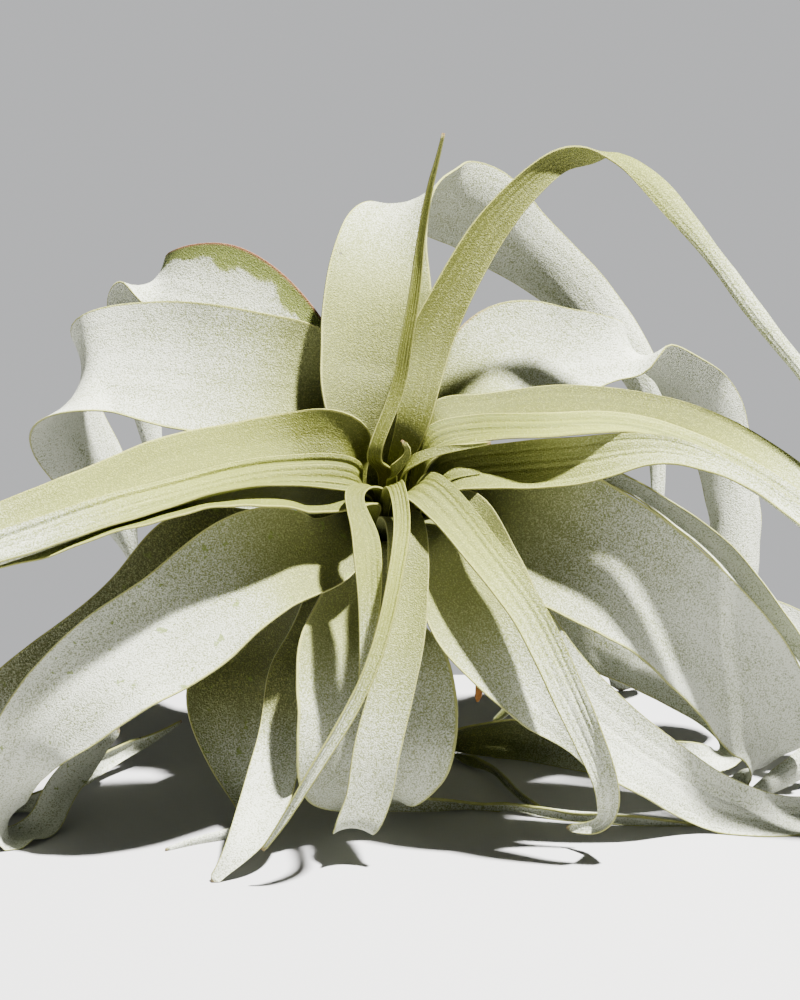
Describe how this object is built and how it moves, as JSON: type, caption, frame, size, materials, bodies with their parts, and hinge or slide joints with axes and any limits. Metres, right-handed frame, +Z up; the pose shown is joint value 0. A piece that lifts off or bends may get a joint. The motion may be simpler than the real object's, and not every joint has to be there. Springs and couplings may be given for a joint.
{
  "type": "air plant",
  "caption": "Rosette of broad, curling, silver-grey leaves round a short woody base; it lies on a table with several leaf tips touching the surface.",
  "frame": {"origin": "bottom centre of the plant's box, on the surface it rests on", "axes": "+Z up, -Y towards the front of the plant, where the heart leans, +X to the right of the front view"},
  "size_m": [0.4602, 0.2664, 0.2914],
  "materials": {
    "silver_leaf": "matt, covered with fine silver scales",
    "green_leaf": "matt, yellow-green with fine scales",
    "woody_base": "rough, brown"
  },
  "bodies": {
    "root": {"bud_curl": "green_leaf", "bud_right": "green_leaf", "spire": "green_leaf", "front_left_slim": "green_leaf", "front_cream": "green_leaf", "long_arch": "green_leaf", "left_grooved": "green_leaf", "front_right_long": "green_leaf", "left_broad": "green_leaf", "right_channel": "green_leaf", "back_tall": "silver_leaf", "front_broad": "silver_leaf", "right_lower_edge": "green_leaf", "left_back_broad": "silver_leaf", "front_right_broad": "silver_leaf", "right_back_broad": "green_leaf", "left_low_long": "silver_leaf", "left_back_rim": "silver_leaf", "right_silver_broad": "silver_leaf", "front_drape": "silver_leaf", "right_back_hood": "silver_leaf", "right_sweep": "silver_leaf", "left_shade": "silver_leaf", "right_tube": "silver_leaf", "front_left_point": "silver_leaf", "back_left_low": "silver_leaf", "back_centre": "silver_leaf", "right_low_back": "silver_leaf", "left_rear_drape": "silver_leaf", "back_right_low": "silver_leaf", "orange_tip": "silver_leaf", "back_low_drape": "silver_leaf", "floor_roll": "silver_leaf", "caudex": "woody_base"}
  },
  "joints": []
}
